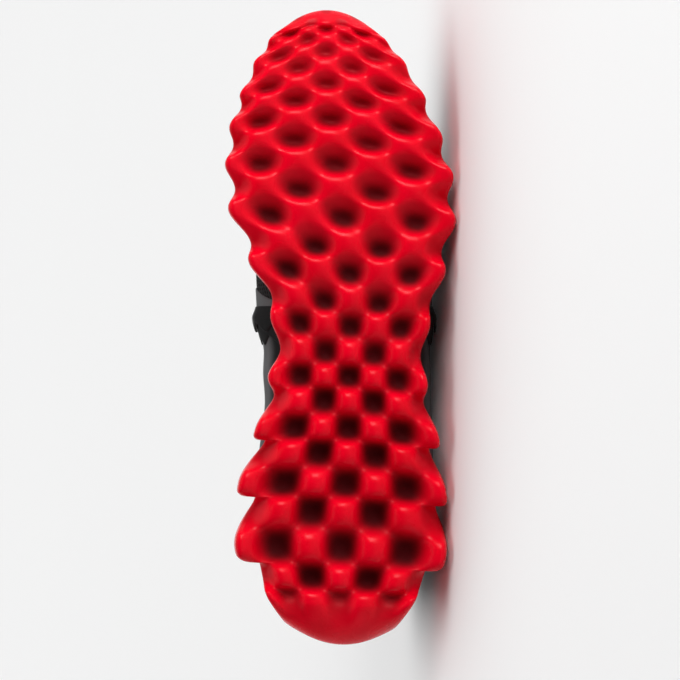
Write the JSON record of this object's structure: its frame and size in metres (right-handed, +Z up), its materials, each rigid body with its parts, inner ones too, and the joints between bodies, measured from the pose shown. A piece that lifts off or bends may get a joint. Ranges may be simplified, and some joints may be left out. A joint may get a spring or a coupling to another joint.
{
  "type": "sneaker",
  "caption": "Left low-cut sneaker lying on its outer side, with a deep egg-crate rubber tread, pointed side lugs, a hollow laced upper, a tongue and an insole.",
  "frame": {"origin": "bottom centre of the bounding box, on the floor under the shoe as it lies on its outer side", "axes": "+X from the heel to the toe, +Y from the tread towards the collar, +Z up, towards the shoe's inner side"},
  "size_m": [0.306, 0.1106, 0.1097],
  "materials": {
    "sole_rubber": "satin",
    "upper_mesh": "matte",
    "overlay_leather": "satin",
    "lining": "matte",
    "lace": "matte"
  },
  "bodies": {
    "root": {"outsole": "sole_rubber", "insole": "lining", "upper": "upper_mesh", "tongue": "upper_mesh", "eyestay_inner": "overlay_leather", "eyestay_outer": "overlay_leather", "overlay_inner": "overlay_leather", "overlay_outer": "overlay_leather", "heel_counter": "overlay_leather", "lace_bar_1": "lace", "lace_bar_2": "lace", "lace_bar_3": "lace", "lace_bar_4": "lace", "lace_bar_5": "lace", "lace_bar_6": "lace"}
  },
  "joints": []
}
